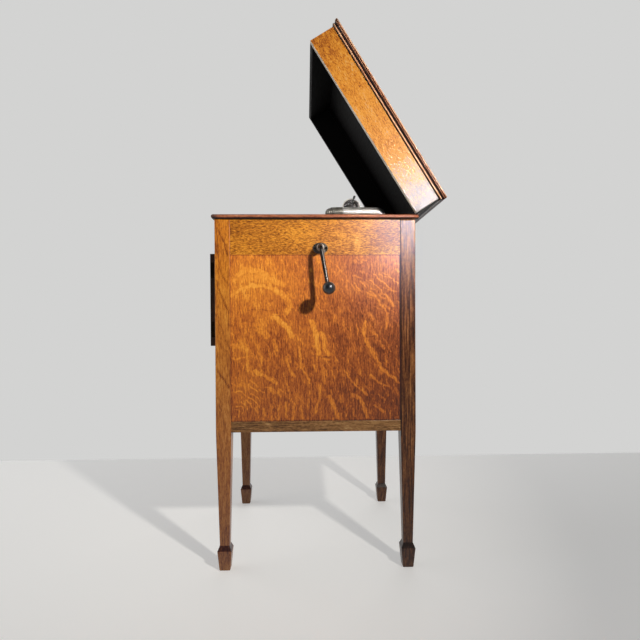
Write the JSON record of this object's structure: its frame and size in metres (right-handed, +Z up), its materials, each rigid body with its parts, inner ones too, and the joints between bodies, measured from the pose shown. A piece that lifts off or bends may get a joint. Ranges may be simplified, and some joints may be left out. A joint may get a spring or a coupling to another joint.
{
  "type": "wind-up gramophone",
  "caption": "Floor-standing oak cabinet gramophone with open hinged lid, side winding crank, doors over the horn, turntable, spring motor and throw-back tone arm.",
  "frame": {"origin": "on the floor below the middle of the whole part's box, with the lid open and the crank hanging", "axes": "+Z up, the doors face -Y, the winding crank is on +X"},
  "size_m": [0.5724, 0.5965, 1.3705],
  "materials": {
    "golden_oak": "golden oiled quarter-sawn oak, satin",
    "dark_oak": "darker fumed oak, satin",
    "nickel_plate": "bright nickel plate",
    "brass": "drawn brass, dulled",
    "black_iron": "black enamelled steel, glossy",
    "black_wood": "ebonised wood, polished",
    "cast_iron": "black japanned cast iron",
    "green_felt": "worn green felt",
    "mica": "grey mica sheet",
    "steel": "drawn and milled steel"
  },
  "bodies": {
    "cabinet": {"leg_front_right": "golden_oak", "leg_front_left": "golden_oak", "leg_rear_right": "golden_oak", "leg_rear_left": "golden_oak", "right_side_panel": "golden_oak", "left_side_panel": "golden_oak", "upper_side_rails": "golden_oak", "lower_side_rails": "dark_oak", "front_rails": "golden_oak", "front_lower_panel": "golden_oak", "rear_rails": "dark_oak", "back_panel": "dark_oak", "cabinet_floor": "dark_oak", "deck_moulding": "dark_oak", "motor_board": "golden_oak", "board_ledgers": "dark_oak", "horn_boards": "dark_oak", "horn_throat": "cast_iron", "horn_louvres": "dark_oak", "crank_escutcheon": "nickel_plate", "escutcheon_screws": "steel", "lid_hinge_leaves": "brass", "door_hinge_leaves": "brass", "stay_guide": "brass", "tonearm_base": "nickel_plate", "motor_top_plate": "steel", "motor_bottom_plate": "steel", "motor_pillars": "steel", "governor_bracket": "steel"},
    "lid": {"lid_front_board": "dark_oak", "lid_back_board": "dark_oak", "lid_side_boards": "golden_oak", "lid_top_board": "golden_oak", "lid_moulding": "dark_oak", "lid_hinge_flaps": "brass", "lid_stay": "brass"},
    "right_door": {"right_door": "dark_oak", "right_door_flaps": "brass"},
    "left_door": {"left_door": "dark_oak", "left_door_flaps": "brass"},
    "turntable": {"platter": "nickel_plate", "felt_mat": "green_felt", "spindle": "steel"},
    "intermediate": {"intermediate_gear": "brass"},
    "barrel": {"spring_barrel": "brass", "mainspring": "steel"},
    "winder": {"winding_arbor": "steel"},
    "crank": {"crank_arm": "black_iron", "winding_shaft": "steel"},
    "crank_grip": {"crank_knob": "black_wood"},
    "governor": {"governor_spindle": "steel", "governor_weights": "brass"},
    "tonearm": {"tonearm_tube": "nickel_plate"},
    "soundbox": {"tonearm_crook": "nickel_plate", "soundbox_case": "nickel_plate", "diaphragm": "mica", "soundbox_cover": "black_iron", "stylus_bar": "black_iron"},
    "brake": {"brake_lever": "nickel_plate"},
    "speed_control": {"speed_lever": "nickel_plate"}
  },
  "joints": [
    {"name": "lid_hinge", "type": "hinge", "parent": "cabinet", "child": "lid", "pos_m": [-0.0392, 0.22516, 0.8905], "axis": [1, 0, 0], "range_deg": [0, 58.2]},
    {"name": "right_door_swing", "type": "hinge", "parent": "cabinet", "child": "right_door", "pos_m": [0.164, -0.28354, 0.68], "axis": [0, 0, 1], "range_deg": [0, 105]},
    {"name": "left_door_swing", "type": "hinge", "parent": "cabinet", "child": "left_door", "pos_m": [-0.2424, -0.28354, 0.68], "axis": [0, 0, -1], "range_deg": [0, 105]},
    {"name": "turntable_spin", "type": "hinge", "parent": "cabinet", "child": "turntable", "pos_m": [-0.0792, -0.02934, 0.888], "axis": [0, 0, 1], "continuous": true},
    {"name": "intermediate_spin", "type": "hinge", "parent": "cabinet", "child": "intermediate", "pos_m": [-0.03805, -0.00563, 0.8], "axis": [0, 0, 1], "continuous": true},
    {"name": "barrel_spin", "type": "hinge", "parent": "cabinet", "child": "barrel", "pos_m": [0.0208, -0.01734, 0.83], "axis": [0, 0, 1], "continuous": true},
    {"name": "governor_spin", "type": "hinge", "parent": "cabinet", "child": "governor", "pos_m": [-0.1127, -0.02934, 0.776], "axis": [0, 1, 0], "continuous": true},
    {"name": "crank_turn", "type": "hinge", "parent": "cabinet", "child": "crank", "pos_m": [0.1988, -0.01734, 0.806], "axis": [1, 0, 0], "continuous": true},
    {"name": "winder_turn", "type": "hinge", "parent": "cabinet", "child": "winder", "pos_m": [0.0208, -0.01734, 0.815], "axis": [0, 0, 1], "continuous": true},
    {"name": "crank_knob_spin", "type": "hinge", "parent": "crank", "child": "crank_grip", "pos_m": [0.2708, 0.00026, 0.70299], "axis": [1, 0, 0], "continuous": true},
    {"name": "tonearm_swing", "type": "hinge", "parent": "cabinet", "child": "tonearm", "pos_m": [0.0958, 0.14566, 0.89], "axis": [0, 0, -1], "range_deg": [-12, 38]},
    {"name": "soundbox_throw", "type": "hinge", "parent": "tonearm", "child": "soundbox", "pos_m": [0.0658, 0.01866, 0.921], "axis": [1, 0, 0], "range_deg": [0, 165]},
    {"name": "brake_swing", "type": "hinge", "parent": "cabinet", "child": "brake", "pos_m": [0.0588, -0.19734, 0.87], "axis": [0, 0, 1], "range_deg": [0, 20]},
    {"name": "speed_swing", "type": "hinge", "parent": "cabinet", "child": "speed_control", "pos_m": [-0.2392, 0.01966, 0.868], "axis": [0, 0, 1], "range_deg": [0, 3]}
  ],
  "couplings": [
    {"joint": "intermediate_spin", "follows": "turntable_spin", "ratio": -0.26667},
    {"joint": "barrel_spin", "follows": "turntable_spin", "ratio": 0.053333},
    {"joint": "governor_spin", "follows": "turntable_spin", "ratio": 12},
    {"joint": "winder_turn", "follows": "crank_turn", "ratio": -0.33333}
  ]
}
